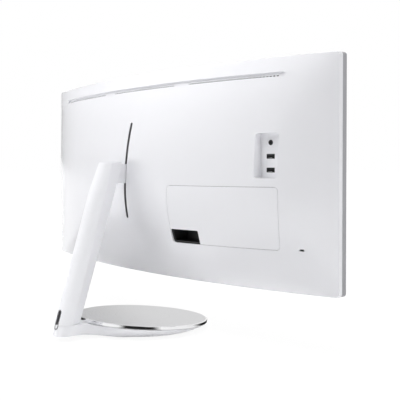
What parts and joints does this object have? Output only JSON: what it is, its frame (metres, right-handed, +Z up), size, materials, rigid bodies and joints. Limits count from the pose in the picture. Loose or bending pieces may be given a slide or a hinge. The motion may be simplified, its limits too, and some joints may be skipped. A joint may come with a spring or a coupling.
{
  "type": "computer monitor",
  "caption": "Ultrawide curved desktop monitor on a leaning single-arm stand with tilt and height adjustment and a round metal base.",
  "frame": {"origin": "on the desk, under the middle of the overall width and depth", "axes": "+Z up; the screen faces -Y and the rear cover faces +Y; +X is to the right for someone looking at the screen"},
  "size_m": [0.8088, 0.315, 0.4709],
  "materials": {
    "white_plastic": "glossy white moulding",
    "white_metal": "satin white paint",
    "silver_frame": "satin silver",
    "black_plastic": "fine texture",
    "grey_plastic": "satin",
    "screen": "smooth anti-glare front",
    "clear_sheet": "optical film",
    "steel": "zinc plated sheet",
    "cast_alloy": "as cast",
    "board": "solder mask",
    "bright_steel": "ground",
    "bush_brass": "plain",
    "socket_shell": "tinned",
    "satin_disc": "satin metallic",
    "chrome_rim": "polished",
    "rubber": "matte"
  },
  "bodies": {
    "stand": {"arm_shell": "white_metal", "arm_core": "cast_alloy", "tongue_plate": "white_metal", "cable_grommet": "grey_plastic", "base_disc": "satin_disc", "base_rim": "chrome_rim", "base_shell": "white_metal", "ballast_plate": "steel", "desk_pad_1": "rubber", "desk_pad_2": "rubber", "desk_pad_3": "rubber", "desk_pad_4": "rubber", "desk_pad_5": "rubber", "desk_pad_6": "rubber"},
    "carriage": {"carriage_block": "steel", "guide_bush_left": "bush_brass", "guide_bush_right": "bush_brass", "hinge_pin": "bright_steel", "friction_washer_left": "bush_brass", "friction_washer_right": "bush_brass"},
    "display": {"bottom_bezel": "black_plastic", "dc_inlet": "black_plastic", "diffuser_sheet": "clear_sheet", "front_frame": "silver_frame", "guide_rod_left": "bright_steel", "guide_rod_right": "bright_steel", "headphone_jack": "black_plastic", "lcd_panel": "screen", "lift_frame": "steel", "light_guide": "clear_sheet", "lock_plate": "steel", "main_board": "board", "panel_tray": "steel", "port_bay": "white_plastic", "power_board": "board", "power_cage": "steel", "rear_cover": "white_plastic", "reflector_sheet": "clear_sheet", "side_port_board": "board", "slot_trim": "grey_plastic", "speaker_left": "black_plastic", "speaker_right": "black_plastic", "spring_drum_left": "bright_steel", "spring_drum_right": "bright_steel", "stick_housing": "black_plastic", "usb_a_side_lower": "socket_shell", "usb_a_side_upper": "socket_shell", "usb_a_socket": "socket_shell", "usb_b_socket": "socket_shell", "video_socket_1": "socket_shell", "video_socket_2": "socket_shell", "video_socket_3": "socket_shell"},
    "ports_cover": {"ports_cover": "white_plastic"},
    "stick_gimbal": {"stick_gimbal": "black_plastic"},
    "stick_cradle": {"stick_cradle": "black_plastic"},
    "stick_knob": {"stick_knob": "white_plastic"}
  },
  "joints": [
    {"name": "tilt", "type": "hinge", "parent": "stand", "child": "carriage", "pos_m": [0, -0.01658, 0.2854], "axis": [-1, 0, 0], "range_deg": [-2, 22]},
    {"name": "height", "type": "slide", "parent": "carriage", "child": "display", "axis": [0, 0, 1], "range_m": [-0.05, 0.05]},
    {"name": "ports_cover_pull", "type": "slide", "parent": "display", "child": "ports_cover", "axis": [0, 1, 0], "range_m": [0, 0.07]},
    {"name": "stick_up_down", "type": "hinge", "parent": "display", "child": "stick_gimbal", "pos_m": [0.37595, -0.09401, 0.1419], "axis": [0.9687, -0.2483, 0], "range_deg": [-5, 5], "stiffness_Nm_per_rad": 0.02},
    {"name": "stick_left_right", "type": "hinge", "parent": "stick_gimbal", "child": "stick_cradle", "pos_m": [0.37595, -0.09401, 0.1419], "axis": [0, 0, 1], "range_deg": [-5, 5], "stiffness_Nm_per_rad": 0.02},
    {"name": "stick_press", "type": "slide", "parent": "stick_cradle", "child": "stick_knob", "axis": [-0.2483, -0.9687, 0], "range_m": [0, 0.0008], "stiffness_N_per_m": 800}
  ]
}
